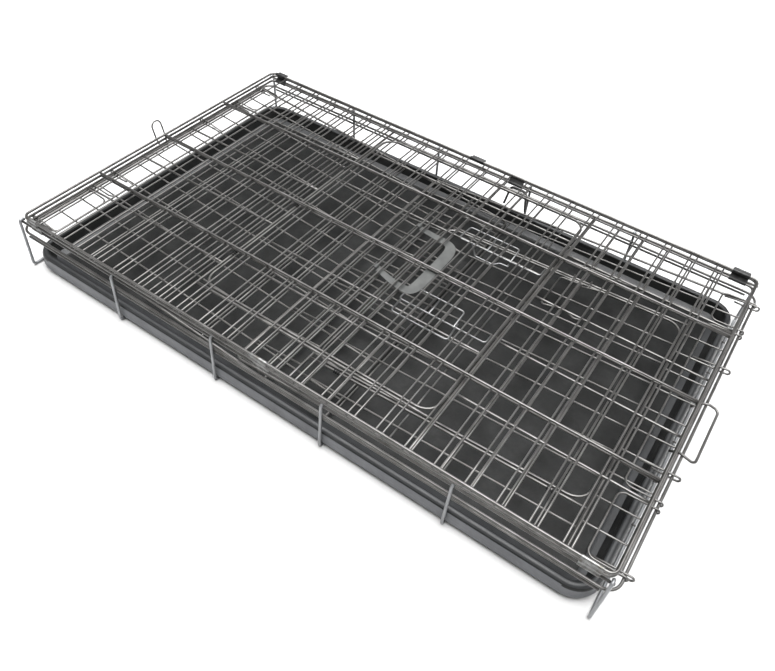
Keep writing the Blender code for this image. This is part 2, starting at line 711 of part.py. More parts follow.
def left_end_panel():
    """Folded down into the tray from the left end wire."""
    end_grille("left_end_panel", "left_end_panel", 1,
               (END_START, END_LENGTH, -END_HALF_Y, END_HALF_Y), END_CROSS_U, end_wires(), True)


def right_end_panel():
    """Four grilles round the end door, folded down over the left end panel."""
    body = "right_end_panel"
    u0 = END_DOOR_U0 - DOOR_GAP
    u1 = END_DOOR_U1 + DOOR_GAP
    y0 = END_DOOR_Y0 - DOOR_GAP
    y1 = END_DOOR_Y1 + DOOR_GAP
    end_grille("right_end_bottom", body, -1, (END_START, u0, -END_HALF_Y, END_HALF_Y), [],
               end_wires(), True)
    end_grille("right_end_top", body, -1, (u1, END_LENGTH, -END_HALF_Y, END_HALF_Y),
               [(u1 + END_LENGTH) / 2], end_wires())
    u0 += FRAME_WIRE + CUT_GAP
    u1 -= FRAME_WIRE + CUT_GAP
    rows = spread(u0, u1, 4)
    end_grille("right_end_front", body, -1, (u0, u1, -END_HALF_Y, y0), rows,
               [(y0 - END_HALF_Y) / 2])
    end_grille("right_end_back", body, -1, (u0, u1, y1, END_HALF_Y), rows,
               spread(y1, END_HALF_Y, 2))


def end_door():
    """The end door with its hinge eyes; its own frame starts on the hinge wire."""
    hinge_y = END_DOOR_Y0 - DOOR_GAP
    box = (-END_DOOR_U1, -END_DOOR_U0, END_DOOR_Y0 - hinge_y, END_DOOR_Y1 - hinge_y)
    rows = spread(box[2], box[3], END_DOOR_WIRES)
    crosses = spread(box[0], box[1], END_DOOR_CROSSES)
    grille("end_door", box, 0.0, rows, crosses, "end_door", corner=DOOR_CORNER, local=True,
           long_side=CROSS_WIRE)
    for i, u in enumerate(END_HINGE_EYE_U):
        tube = tube_between((0.0, 0.0), (0.0, 0.0), DOOR_EYE_INNER, DOOR_EYE_OUTER,
                            -u - DOOR_EYE_LENGTH / 2, -u + DOOR_EYE_LENGTH / 2)
        add_part("end_hinge_eye_%d" % (i + 1), [tube], "end_door", "black_wire", local=True)


def end_latch():
    """Pull loop and bolt of the end door, sliding across the panel."""
    bolt_z = (FRAME_WIRE + CROSS_WIRE) / 2 + CUT_GAP
    z = bolt_z + CUT_GAP * 0.75
    loop = ring(rounded_rectangle(*END_LATCH_X, *END_LATCH_Y, LATCH_CORNER, z), CROSS_WIRE)
    tip = END_DOOR_Y1 + DOOR_GAP + BOLT_PAST
    rods = bars([((x, END_LATCH_Y[1], bolt_z), (x, tip, bolt_z)) for x in END_BOLT_X], CROSS_WIRE)
    add_part("end_latch", [loop, rods], "end_latch", "black_wire", local=True)


# ================================================================ assembly
def make_bodies():
    """One empty for each moving body, on its joint axis."""
    add_body("base", (0, 0, 0))
    add_body("tray", (0, 0, TRAY_Z0), "base")
    add_body("tray_stop", (BASE_HALF_X, 0, RING_Z), "base")
    add_body("left_loop", (-BASE_HALF_X, 0, RING_Z), "base")
    add_body("front_panel", (0, FRONT_Y0, FRONT_Z), "base")
    add_body("side_door", (side_door_axis(), 0, FRONT_Z), "front_panel")
    add_body("side_latch_upper", (side_door_axis(), 0, FRONT_Z), "side_door")
    add_body("side_latch_lower", (side_door_axis(), 0, FRONT_Z), "side_door")
    add_body("roof", (0, ROOF_Y1, ROOF_Z), "front_panel")
    axis_x, axis_z = handle_axis()
    add_body("carry_handle", (axis_x, 0, axis_z), "roof")
    add_body("back_panel", (0, BACK_Y0, BACK_Z), "roof")
    add_body("left_end_panel", (-BASE_HALF_X, 0, RING_Z), "base", LEFT_SLOPE)
    add_body("right_end_panel", (BASE_HALF_X, 0, RING_Z), "base", RIGHT_SLOPE)
    door_edge = Vector((0, END_DOOR_Y0 - DOOR_GAP, 0))
    add_body("end_door", Vector((BASE_HALF_X, 0, RING_Z)) + door_edge, "right_end_panel", RIGHT_SLOPE)
    add_body("end_latch", (BASE_HALF_X, 0, RING_Z), "end_door", RIGHT_SLOPE)


def main():
    clear_scene()
    make_bodies()
    base_floor()
    base_wall("base_wall_front", -1)
    base_wall("base_wall_back", 1)
    base_end("base_end_left", -1)
    base_end("base_end_right", 1)
    tray()
    tray_stop()
    left_loop()
    rear_bracket()
    front_panel()
    side_door()
    slide_bolt("side_latch_upper", *UPPER_BOLT_Y)
    slide_bolt("side_latch_lower", *LOWER_BOLT_Y)
    roof()
    handle()
    back_panel()
    hinge_clips()
    left_end_panel()
    right_end_panel()
    end_door()
    end_latch()


main()
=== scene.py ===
"""Looks of the folded wire dog crate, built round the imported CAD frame."""

import bpy
import json
import math
import random
import numpy as np
from mathutils import Matrix, Vector


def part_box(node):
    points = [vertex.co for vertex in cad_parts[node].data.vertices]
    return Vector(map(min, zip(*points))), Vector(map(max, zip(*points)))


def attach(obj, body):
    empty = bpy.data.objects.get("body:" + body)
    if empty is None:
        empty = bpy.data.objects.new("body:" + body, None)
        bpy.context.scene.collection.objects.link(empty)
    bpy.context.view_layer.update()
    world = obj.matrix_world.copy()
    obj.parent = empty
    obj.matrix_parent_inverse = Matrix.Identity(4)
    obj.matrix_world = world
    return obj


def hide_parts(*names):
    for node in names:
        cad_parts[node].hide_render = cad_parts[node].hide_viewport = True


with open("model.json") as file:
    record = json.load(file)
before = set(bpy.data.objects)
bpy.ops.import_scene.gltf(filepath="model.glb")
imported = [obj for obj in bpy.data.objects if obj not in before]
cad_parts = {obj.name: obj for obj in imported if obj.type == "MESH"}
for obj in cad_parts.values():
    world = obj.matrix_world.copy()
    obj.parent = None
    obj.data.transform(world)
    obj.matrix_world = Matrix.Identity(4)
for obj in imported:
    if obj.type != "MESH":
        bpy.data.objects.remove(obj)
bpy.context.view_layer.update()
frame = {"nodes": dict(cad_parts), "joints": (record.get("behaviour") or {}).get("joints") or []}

# ---------------------------------------------------------------- sizes, metres
BAR = 0.0042 * 0.886 / 2                 # half side of a CAD frame wire
R_FRAME, R_LONG, R_CROSS, R_LEG = 0.0025, 0.0023, 0.0017, 0.0028
R_FLOOR = 0.0019                         # floor wires, under the tray
EMBED = 0.0005                           # how deep welded wires sink into each other
GAP = 0.0001                             # between wires that touch but aren't welded
PITCH, CROSS_FIRST, CROSS_COUNT = 0.053, -0.559, 22
ROOF_SHIFT, FRONT_SHIFT = -0.0135, -0.006
CORNER = 0.013                           # radius of a panel's corners
DOOR_CORNER = 0.030
SHEET = 0.0011                           # thickness of the rolled clips
CLIP_R = 0.0031                          # from a wire's middle to the middle of the sheet round it
EYE_R = 0.0039                           # the same, for the wire coils that hinge the doors
JOINT = {j["name"]: j for j in frame["joints"]}


# ================================================================ mesh builder
class Builder:
    """Collects tubes, sheets and beads into one mesh."""

    def __init__(self):
        self.verts = []
        self.faces = []
        self.flat = []

    def add(self, verts, faces, flat=False):
        base = len(self.verts)
        self.verts.extend([tuple(v) for v in verts])
        self.faces.extend([tuple(base + i for i in f) for f in faces])
        self.flat.extend([flat] * len(faces))

    def tube(self, path, radius, sides=10, closed=False, cut=0.35):
        """A round wire along a path, with its cut ends slightly chamfered."""
        pts = np.array([list(p) for p in path], float)
        n = len(pts)
        if closed:
            tangent = np.roll(pts, -1, 0) - np.roll(pts, 1, 0)
        else:
            tangent = np.gradient(pts, axis=0)
        tangent /= np.linalg.norm(tangent, axis=1)[:, None]
        up = np.array([0.0, 0.0, 1.0])
        if abs(tangent[0] @ up) > 0.9:
            up = np.array([1.0, 0.0, 0.0])
        side = np.cross(tangent[0], up)
        side /= np.linalg.norm(side)
        sides_of = [side]
        for i in range(1, n):
            s = sides_of[-1] - (sides_of[-1] @ tangent[i]) * tangent[i]
            sides_of.append(s / np.linalg.norm(s))
        angle = np.linspace(0, 2 * math.pi, sides, endpoint=False)
        rings = []
        for i in range(n):
            s = sides_of[i]
            u = np.cross(s, tangent[i])
            rings.append([pts[i] + (s * math.cos(a) + u * math.sin(a)) * radius for a in angle])
        if closed:
            twist = math.atan2(sides_of[-1] @ np.cross(sides_of[0], tangent[0]),
                               sides_of[-1] @ sides_of[0])
            shift = int(round(twist / (2 * math.pi / sides)))
        else:
            shift = 0
            depth = radius * cut
            for end, i in ((0, 0), (-1, n - 1)):
                sign = -1 if end == 0 else 1
                centre = pts[i] + tangent[i] * sign * depth
                small = [centre + (np.array(v) - pts[i]) * 0.62 for v in rings[end]]
                if end == 0:
                    rings.insert(0, small)
                else:
                    rings.append(small)
        verts = [v for ring in rings for v in ring]
        faces = []
        count = len(rings)
        for i in range(count if closed else count - 1):
            j = (i + 1) % count
            off = shift if closed and j == 0 else 0
            for k in range(sides):
                a, b = i * sides + k, i * sides + (k + 1) % sides
                c = j * sides + (k + 1 + off) % sides
                d = j * sides + (k + off) % sides
                faces.append((a, b, c, d))
        self.add(verts, faces)
        if not closed:
            base = len(self.verts) - len(verts)
            first = tuple(base + k for k in range(sides))[::-1]
            last = tuple(base + (count - 1) * sides + k for k in range(sides))
            self.faces.extend([first, last])
            self.flat.extend([True, True])

    def bead(self, centre, r, squash=1.0):
        """A weld bead: a small flattened ball."""
        rows, cols = 4, 8
        verts = [(0, 0, -1)]
        for i in range(1, rows):
            t = math.pi * i / rows
            for k in range(cols):
                a = 2 * math.pi * k / cols
                verts.append((math.sin(t) * math.cos(a), math.sin(t) * math.sin(a), -math.cos(t)))
        verts.append((0, 0, 1))
        faces = []
        for k in range(cols):
            n = (k + 1) % cols
            faces.append((0, 1 + n, 1 + k))
            for i in range(rows - 2):
                a, b = 1 + i * cols + k, 1 + i * cols + n
                faces.append((a, b, b + cols, a + cols))
            last = 1 + (rows - 2) * cols
            faces.append((last + k, last + n, len(verts) - 1))
        c = np.array(list(centre))
        self.add([c + np.array(v) * (r, r, r * squash) for v in verts], faces)

    def band(self, profile, thick, x0, x1, ends=None):
        """Sheet bent along a profile of (y, z) points, from x0 to x1, with softened ends."""
        p = np.array(profile, float)
        t = np.gradient(p, axis=0)
        t /= np.linalg.norm(t, axis=1)[:, None]
        normal = np.stack([-t[:, 1], t[:, 0]], 1) * thick / 2
        outline = np.vstack([p + normal, (p - normal)[::-1]])
        mid = np.vstack([p, p[::-1]])
        edge = min(0.0006, (x1 - x0) / 6)
        sections = [(x0, 0.45), (x0 + edge * 0.4, 0.85), (x0 + edge, 1.0),
                    (x1 - edge, 1.0), (x1 - edge * 0.4, 0.85), (x1, 0.45)]
        n = len(outline)
        verts = []
        for x, share in sections:
            ring = mid + (outline - mid) * share
            verts.extend([(x, y, z) for y, z in ring])
        faces = []
        for i in range(len(sections) - 1):
            for k in range(n):
                m = (k + 1) % n
                faces.append((i * n + k, (i + 1) * n + k, (i + 1) * n + m, i * n + m))
        half = n // 2
        for start, flip in ((0, False), ((len(sections) - 1) * n, True)):
            for k in range(half - 1):
                quad = (start + k, start + k + 1, start + n - 2 - k, start + n - 1 - k)
                faces.append(quad[::-1] if flip else quad)
        self.add(verts, faces)

    def loft(self, rings, cap_first=True, cap_last=True, closed=False):
        n = len(rings[0])
        verts = [v for ring in rings for v in ring]
        faces = []
        for i in range(len(rings) - (0 if closed else 1)):
            j = (i + 1) % len(rings)
            for k in range(n):
                m = (k + 1) % n
                faces.append((i * n + k, i * n + m, j * n + m, j * n + k))
        self.add(verts, faces)
        base = len(self.verts) - len(verts)
        if cap_first and not closed:
            self.faces.append(tuple(base + k for k in range(n))[::-1])
            self.flat.append(True)
        if cap_last and not closed:
            self.faces.append(tuple(base + (len(rings) - 1) * n + k for k in range(n)))
            self.flat.append(True)

    def piece(self, name, material, body, replaces=(), matrix=None, sharp=50):
        mesh = bpy.data.meshes.new(name)
        mesh.from_pydata([tuple(map(float, v)) for v in self.verts], [], self.faces)
        if matrix is not None:
            mesh.transform(matrix)
        mesh.validate()
        mesh.shade_smooth()
        mesh.set_sharp_from_angle(angle=math.radians(sharp))
        mesh.materials.append(material)
        obj = bpy.data.objects.new(name, mesh)
        bpy.context.scene.collection.objects.link(obj)
        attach(obj, body)
        if replaces:
            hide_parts(*replaces)
        return obj


def arc(centre, radius, start, end, steps, axes):
    """Points of an arc about a centre; axes are the two unit vectors of its plane."""
    u, v = Vector(axes[0]), Vector(axes[1])
    c = Vector(centre)
    return [c + u * radius * math.cos(t) + v * radius * math.sin(t)
            for t in np.linspace(math.radians(start), math.radians(end), steps + 1)]


def rounded(x0, x1, y0, y1, radius, z, steps=6):
    """Corner-rounded rectangle in a level plane, with points along its sides too."""
    pts = []
    for cx, cy, q in ((x1 - radius, y1 - radius, 0), (x0 + radius, y1 - radius, 90),
                      (x0 + radius, y0 + radius, 180), (x1 - radius, y0 + radius, 270)):
        pts += arc((cx, cy, z), radius, q, q + 90, steps, ((1, 0, 0), (0, 1, 0)))
    out = []
    for a, b in zip(pts, pts[1:] + pts[:1]):
        out.append(a)
        gap = (b - a).length
        if gap > 0.02:
            n = max(2, int(gap / 0.06))
            out += [a.lerp(b, i / n) for i in range(1, n)]
    return out


def fillet(points, radius, steps=5):
    """A polyline with its inner corners rounded."""
    pts = [Vector(p) for p in points]
    out = [pts[0]]
    for a, b, c in zip(pts, pts[1:], pts[2:]):
        d0, d1 = (a - b).normalized(), (c - b).normalized()
        half = d0.angle(d1) / 2
        reach = min(radius / math.tan(half), 0.49 * (a - b).length, 0.49 * (c - b).length)
        r = reach * math.tan(half)
        centre = b + (d0 + d1).normalized() * (r / math.sin(half))
        start, end = b + d0 * reach, b + d1 * reach
        v0, v1 = (start - centre), (end - centre)
        sweep_angle = v0.angle(v1)
        axis = v0.cross(v1).normalized()
        for i in range(steps + 1):
            out.append(centre + Matrix.Rotation(sweep_angle * i / steps, 3, axis) @ v0)
    out.append(pts[-1])
    return out


def between(x0, x1, shift=0.0):
    return [x for x in (CROSS_FIRST + PITCH * i + shift for i in range(CROSS_COUNT)) if x0 < x < x1]


def spread(low, high, count):
    return [low + (high - low) * (i + 1) / (count + 1) for i in range(count)]


rng = random.Random(7)


def bowed(a, b, bow, sag=0.0, steps=12):
    """A nearly straight wire with a slight bend of its own."""
    a, b = Vector(a), Vector(b)
    along = (b - a).normalized()
    level = along.cross(Vector((0, 0, 1))).normalized()
    amp = rng.uniform(-bow, bow)
    second = rng.uniform(-bow, bow) * 0.35
    pts = []
    for i in range(steps + 1):
        t = i / steps
        off = amp * math.sin(math.pi * t) + second * math.sin(2 * math.pi * t)
        pts.append(a.lerp(b, t) + level * off - Vector((0, 0, sag * math.sin(math.pi * t))))
    return pts


# ================================================================ materials
def material(name, build):
    mat = bpy.data.materials.new(name)
    mat.use_nodes = True
    tree = mat.node_tree
    build(tree, tree.nodes["Principled BSDF"])
    return mat


def noise(tree, scale, detail=3.0, rough=0.5, stretch=None):
    coord = tree.nodes.new("ShaderNodeTexCoord")
    node = tree.nodes.new("ShaderNodeTexNoise")
    node.inputs["Scale"].default_value = scale
    node.inputs["Detail"].default_value = detail
    node.inputs["Roughness"].default_value = rough
    if stretch:
        mapping = tree.nodes.new("ShaderNodeMapping")
        mapping.inputs["Scale"].default_value = stretch
        tree.links.new(coord.outputs["Object"], mapping.inputs["Vector"])
        tree.links.new(mapping.outputs["Vector"], node.inputs["Vector"])
    else:
        tree.links.new(coord.outputs["Object"], node.inputs["Vector"])
    return node.outputs["Fac"]


def ramp(tree, fac, stops):
    node = tree.nodes.new("ShaderNodeValToRGB")
    elements = node.color_ramp.elements
    while len(elements) < len(stops):
        elements.new(0.5)
    for element, (at, colour) in zip(elements, stops):
        element.position = at
        element.color = (*colour, 1.0) if len(colour) == 3 else colour
    tree.links.new(fac, node.inputs["Fac"])
    return node.outputs["Color"]


def grey(value):
    return (value, value, value)


def bump(tree, shader, height, strength, distance):
    node = tree.nodes.new("ShaderNodeBump")
    node.inputs["Strength"].default_value = strength
    node.inputs["Distance"].default_value = distance
    tree.links.new(height, node.inputs["Height"])
    tree.links.new(node.outputs["Normal"], shader.inputs["Normal"])


def wire_material(name, low, high, rough, metallic):
    """Drawn steel wire under thin black electrocoat: glossy, with faint patches and streaks."""
    def build(tree, shader):
        shader.inputs["Metallic"].default_value = metallic
        tree.links.new(ramp(tree, noise(tree, 30.0, 4.0), [(0.3, low), (0.7, high)]),
                       shader.inputs["Base Color"])
        tree.links.new(ramp(tree, noise(tree, 90.0, 3.0),
                            [(0.3, grey(rough[0])), (0.75, grey(rough[1]))]),
                       shader.inputs["Roughness"])
        bump(tree, shader, noise(tree, 420.0, 2.0), 0.05, 0.0002)
    return material(name, build)


def zinc(tree, shader):
    shader.inputs["Metallic"].default_value = 0.9
    tree.links.new(ramp(tree, noise(tree, 120.0, 5.0),
                        [(0.30, (0.110, 0.104, 0.092)), (0.5, (0.190, 0.190, 0.187)),
                         (0.72, (0.280, 0.280, 0.275))]), shader.inputs["Base Color"])
    tree.links.new(ramp(tree, noise(tree, 160.0, 3.0, stretch=(0.2, 1, 1)),
                        [(0.3, grey(0.34)), (0.7, grey(0.46))]), shader.inputs["Roughness"])
    bump(tree, shader, noise(tree, 260.0, 3.0, stretch=(0.15, 1, 1)), 0.06, 0.0003)


def black_sheet(tree, shader):
    shader.inputs["Metallic"].default_value = 0.25
    tree.links.new(ramp(tree, noise(tree, 90.0, 4.0), [(0.3, grey(0.010)), (0.7, grey(0.028))]),
                   shader.inputs["Base Color"])
    tree.links.new(ramp(tree, noise(tree, 240.0), [(0.3, grey(0.34)), (0.7, grey(0.55))]),
                   shader.inputs["Roughness"])
    bump(tree, shader, noise(tree, 800.0, 2.0), 0.2, 0.0004)


def tray_plastic(tree, shader):
    shader.inputs["Specular IOR Level"].default_value = 0.16
    tree.links.new(ramp(tree, noise(tree, 14.0, 8.0, 0.72),
                        [(0.32, (0.0060, 0.0062, 0.0061)), (0.52, (0.0135, 0.0139, 0.0137)),
                         (0.72, (0.0250, 0.0256, 0.0252))]), shader.inputs["Base Color"])
    tree.links.new(ramp(tree, noise(tree, 22.0, 4.0), [(0.3, grey(0.30)), (0.75, grey(0.46))]),
                   shader.inputs["Roughness"])
    bump(tree, shader, noise(tree, 620.0, 4.0, 0.65), 0.35, 0.0006)


def skirt_painted_reflection(tree, shader):
    """The tray's outer face: the tray plastic lightened and blued as a painted reflection of the pale floor,
    mottled in patches stretched up and down.
    """
    tree.links.new(ramp(tree, noise(tree, 16.0, 5.0, 0.6, stretch=(1, 1, 0.35)),
                        [(0.25, (0.075, 0.078, 0.083)), (0.75, (0.125, 0.130, 0.138))]),
                   shader.inputs["Base Color"])
    tree.links.new(ramp(tree, noise(tree, 22.0, 4.0), [(0.3, grey(0.34)), (0.75, grey(0.50))]),
                   shader.inputs["Roughness"])
    bump(tree, shader, noise(tree, 620.0, 4.0, 0.65), 0.25, 0.0006)


def rim_painted_sheen(tree, shader):
    """The rim's flat top and the ledge inside it: the tray plastic lightened and blued as a painted sheen
    where these faces catch the overhead light.
    """
    tree.links.new(ramp(tree, noise(tree, 18.0, 6.0, 0.65, stretch=(0.5, 0.5, 1)),
                        [(0.3, (0.013, 0.0138, 0.0148)), (0.7, (0.030, 0.0318, 0.034))]),
                   shader.inputs["Base Color"])
    tree.links.new(ramp(tree, noise(tree, 22.0, 4.0), [(0.3, grey(0.38)), (0.75, grey(0.52))]),
                   shader.inputs["Roughness"])
    bump(tree, shader, noise(tree, 620.0, 4.0, 0.65), 0.25, 0.0006)


def handle_plastic(tree, shader):
    shader.inputs["Specular IOR Level"].default_value = 0.2
    tree.links.new(ramp(tree, noise(tree, 45.0, 4.0),
                        [(0.3, (0.056, 0.058, 0.057)), (0.7, (0.088, 0.090, 0.088))]),
                   shader.inputs["Base Color"])
    tree.links.new(ramp(tree, noise(tree, 180.0), [(0.3, grey(0.42)), (0.7, grey(0.6))]),
                   shader.inputs["Roughness"])
    bump(tree, shader, noise(tree, 1400.0, 2.0), 0.25, 0.0003)


WIRE = wire_material("wire_dark", (0.098, 0.095, 0.091), (0.172, 0.168, 0.163), (0.31, 0.39), 0.8)
WIRE_LIGHT = wire_material("wire_leg", (0.210, 0.215, 0.222), (0.320, 0.327, 0.336),
                           (0.34, 0.44), 0.6)
# the latch wires: the dark wire lightened, a painted highlight on the slide bolts
WIRE_PAINTED_HIGHLIGHT = wire_material("wire_latch_painted_highlight", (0.14, 0.142, 0.144), (0.24, 0.242, 0.245),
                            (0.30, 0.38), 0.85)
ZINC = material("zinc", zinc)
BLACK = material("black_sheet", black_sheet)
TRAY = material("tray_plastic_fine", tray_plastic)
# the outer face's paler colour is a painted reflection of the pale floor
SKIRT_PAINTED_REFLECTION = material("tray_skirt_painted_reflection", skirt_painted_reflection)
# the rim top and ledge colour is a painted sheen
RIM_PAINTED_SHEEN = material("tray_rim_painted_sheen", rim_painted_sheen)
HANDLE = material("handle_plastic_fine", handle_plastic)


# ================================================================ welded panels
def frame_box(*nodes):
    """(x0, x1, y0, y1) of the frame wire's middle, from CAD nodes' boxes."""
    los, his = zip(*(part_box(n) for n in nodes))
    return (min(v.x for v in los) + BAR, max(v.x for v in his) - BAR,
            min(v.y for v in los) + BAR, max(v.y for v in his) - BAR)


def grille(b, box, z, long_ys, cross_xs, face=-1):
    """One welded panel: frame, heavy wires along X on one face, light wires on the other."""
    x0, x1, y0, y1 = box
    over_x, over_y, bow = 0.0015, 0.0016, 0.0008
    b.tube(rounded(x0, x1, y0, y1, CORNER, z), R_FRAME, closed=True)
    cross_z = z + face * (R_FRAME + R_CROSS - EMBED)
    long_z = cross_z - face * (R_CROSS + R_LONG - EMBED)
    for y in long_ys:
        ends = (x0 - over_x, y, long_z), (x1 + over_x, y, long_z)
        b.tube(bowed(*ends, bow * 0.5, steps=10), R_LONG)
    for x in cross_xs:
        b.tube(bowed((x, y0 - over_y, cross_z), (x, y1 + over_y, cross_z), bow), R_CROSS, 8)
        for y in (y0, *long_ys, y1):
            b.bead((x, y, (cross_z + long_z) / 2), R_CROSS * 1.35, 0.8)
    for y in long_ys:
        for x in (x0, x1):
            b.bead((x, y, (z + long_z) / 2), R_LONG * 1.2, 0.8)


back_box = frame_box("back_panel")
back_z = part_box("back_panel")[1].z - BAR
b = Builder()
grille(b, back_box, back_z, spread(back_box[2], back_box[3], 3), between(-1, 1))
b.piece("back_panel_wires", WIRE, "back_panel", ["back_panel"])

roof_box = frame_box("roof_panel")
roof_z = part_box("roof_panel")[0].z + BAR
b = Builder()
grille(b, roof_box, roof_z, spread(roof_box[2], roof_box[3], 3), between(-0.56, 0.62, ROOF_SHIFT), face=1)
b.piece("roof_wires", WIRE, "roof", ["roof_panel"])

# front panel, with its door opening
front_box = frame_box("front_panel_left", "front_panel_right")
front_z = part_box("front_panel_left")[1].z - BAR
door_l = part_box("front_panel_left")[1].x - BAR
door_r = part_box("front_panel_right")[0].x + BAR
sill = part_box("front_panel_sill")[1].y - BAR
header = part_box("front_panel_header")[0].y + BAR
b = Builder()
b.tube(rounded(*front_box, CORNER, front_z), R_FRAME, closed=True)
cross_z = front_z - (R_FRAME + R_CROSS - EMBED)
long_z = cross_z + (R_CROSS + R_LONG - EMBED)
rows = spread(front_box[2], front_box[3], 4)
for x in (door_l, door_r):
    b.tube(bowed((x, front_box[2], front_z), (x, front_box[3], front_z), 0.0004), R_FRAME)
for y in (sill, header):
    b.tube(bowed((door_l, y, front_z), (door_r, y, front_z), 0.0004), R_FRAME)
for y in rows:
    b.tube(bowed((front_box[0] - 0.0015, y, long_z), (door_l, y, long_z), 0.0004), R_LONG)
    b.tube(bowed((door_r, y, long_z), (front_box[1] + 0.0015, y, long_z), 0.0004), R_LONG)
for x in between(-0.56, 0.606, FRONT_SHIFT):
    if door_l - 0.014 < x < door_l + 0.018 or door_r - 0.018 < x < door_r + 0.014:
        continue
    inside = door_l < x < door_r
    spans = ((front_box[2], sill), (header, front_box[3])) if inside else ((front_box[2], front_box[3]),)
    for ya, yb in spans:
        b.tube(bowed((x, ya - 0.0014, cross_z), (x, yb + 0.0014, cross_z), 0.0006), R_CROSS, 8)
        for y in (ya, yb) if inside else (front_box[2], *rows, front_box[3]):
            b.bead((x, y, (cross_z + long_z) / 2), R_CROSS * 1.35, 0.8)
b.piece("front_panel_wires", WIRE, "front_panel",
        ["front_panel_left", "front_panel_right", "front_panel_sill", "front_panel_header"])

# side door
door_box = frame_box("side_door")
b = Builder()
b.tube(rounded(*door_box, DOOR_CORNER, front_z), R_FRAME, closed=True)
DOOR_LONG = (-0.205, -0.127, -0.004, 0.120, 0.250)
for y in DOOR_LONG:
    b.tube(bowed((door_box[0] - 0.001, y, long_z), (door_box[1] + 0.001, y, long_z), 0.0004), R_LONG)
for x in between(door_box[0] + DOOR_CORNER, door_box[1] - DOOR_CORNER, FRONT_SHIFT):
    b.tube(bowed((x, door_box[2] - 0.0014, cross_z), (x, door_box[3] + 0.0014, cross_z), 0.0006), R_CROSS, 8)
    for y in (door_box[2], *DOOR_LONG, door_box[3]):
        b.bead((x, y, (cross_z + long_z) / 2), R_CROSS * 1.35, 0.8)
b.piece("side_door_wires", WIRE, "side_door", ["side_door"])


def hinge_turn(b, centre, out, tail, rise):
    """One turn of thin wire round a hinge wire; its two tails lead out to the door."""
    centre, out, up = Vector(centre), Vector(out), Vector((0, 0, 1))
    turn = arc(centre, EYE_R, 20, 340, 14, (out, up))
    b.tube([centre + out * tail + up * rise] + turn + [centre + out * tail - up * rise],
           R_CROSS * 0.75, 8)


for i in range(3):
    lo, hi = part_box("door_hinge_eye_%d" % (i + 1))
    c = (lo + hi) / 2
    b = Builder()
    for k in range(3):
        hinge_turn(b, (c.x, lo.y + 0.0022 + k * 0.0048, c.z), (1, 0, 0), 0.0055, 0.0014)
    b.piece("door_hinge_%d" % (i + 1), BLACK, "side_door",
            ["door_hinge_eye_%d" % (i + 1)])


def bent(points):
    """The route of a latch's wire, with its bends rounded."""
    return fillet(points, 0.006)


# the two slide-bolt latches of the side door
for tag in ("upper", "lower"):
    lo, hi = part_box("side_latch_" + tag)
    z = front_z + R_FRAME + R_CROSS + GAP
    y1 = hi.y - 0.0045
    rod = y1 - 0.0435
    x0 = lo.x + 0.004
    tip = hi.x - 0.0185
    b = Builder()
    # the bolt: its hooked tip, the long rod, and back round the end of the frame of the latch
    b.tube(bent([(tip + 0.0005, rod + 0.025, z), (tip, rod, z), (x0, rod, z), (x0 + 0.003, y1, z),
                 (0.2025, y1, z), (0.2045, rod - 0.002, z - 0.0003)]), R_CROSS, 10)
    b.tube([(0.150, y1, z), (0.1515, (rod + y1) / 2, z), (0.152, rod, z)], R_CROSS, 8)
    low = lo.y + 0.0014
    if tag == "lower":
        pull = [(x0 + 0.004, rod, z), (x0 + 0.0055, low, z), (0.212, low, z), (0.207, rod + 0.010, z)]
    else:
        low += 0.006
        pull = [(0.118, rod, z), (0.141, low, z), (0.180, low, z), (0.190, low + 0.012, z),
                (0.208, low + 0.013, z), (0.2045, rod - 0.010, z)]
    b.tube(bent(pull), R_CROSS, 10)
    # the latch wire's lighter colour is a painted highlight
    b.piece("side_latch_%s_wire" % tag, WIRE_PAINTED_HIGHLIGHT, "side_latch_" + tag,
            ["side_latch_" + tag])

# ================================================================ carry handle
HANDLE_END_X, HANDLE_END_Z = 0.0105, roof_z + R_FRAME + R_CROSS - EMBED - 0.0003
lo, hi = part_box("carry_handle")
hy0, hy1 = lo.y + 0.006, hi.y - 0.006
b = Builder()
flat_z = lo.z + 0.0013
grip_x = hi.x - 0.0120
WIRE_X = HANDLE_END_X
HANDLE_LINE = [(WIRE_X, hy0), (WIRE_X + 0.022, hy0 - 0.0035), (grip_x - 0.040, hy0 - 0.0100),
               (grip_x - 0.020, hy0 - 0.0118), (grip_x - 0.0065, hy0 - 0.0085),
               (grip_x - 0.0008, hy0 + 0.008), (grip_x + 0.0003, hy0 + 0.045),
               (grip_x - 0.0002, hy1 - 0.050), (grip_x - 0.0015, hy1 - 0.028),
               (grip_x - 0.0075, hy1 - 0.0105), (grip_x - 0.022, hy1 - 0.0030),
               (grip_x - 0.045, hy1 - 0.0008), (WIRE_X + 0.022, hy1 + 0.0005), (WIRE_X, hy1)]
HANDLE_HALF = [0.0060, 0.0068, 0.0078, 0.0088, 0.0104, 0.0116, 0.0118, 0.0118, 0.0116, 0.0104,
               0.0088, 0.0078, 0.0068, 0.0060]


def smooth_line(points, per):
    """Catmull-Rom curve through points of any width."""
    p = np.array(points, float)
    p = np.vstack([2 * p[0] - p[1], p, 2 * p[-1] - p[-2]])
    out = []
    for i in range(1, len(p) - 2):
        for k in range(per):
            t = k / per
            out.append(0.5 * (2 * p[i] + (p[i + 1] - p[i - 1]) * t
                              + (2 * p[i - 1] - 5 * p[i] + 4 * p[i + 1] - p[i + 2]) * t ** 2
                              + (3 * p[i] - p[i - 1] - 3 * p[i + 1] + p[i + 2]) * t ** 3))
    out.append(p[-2])
    return np.array(out)


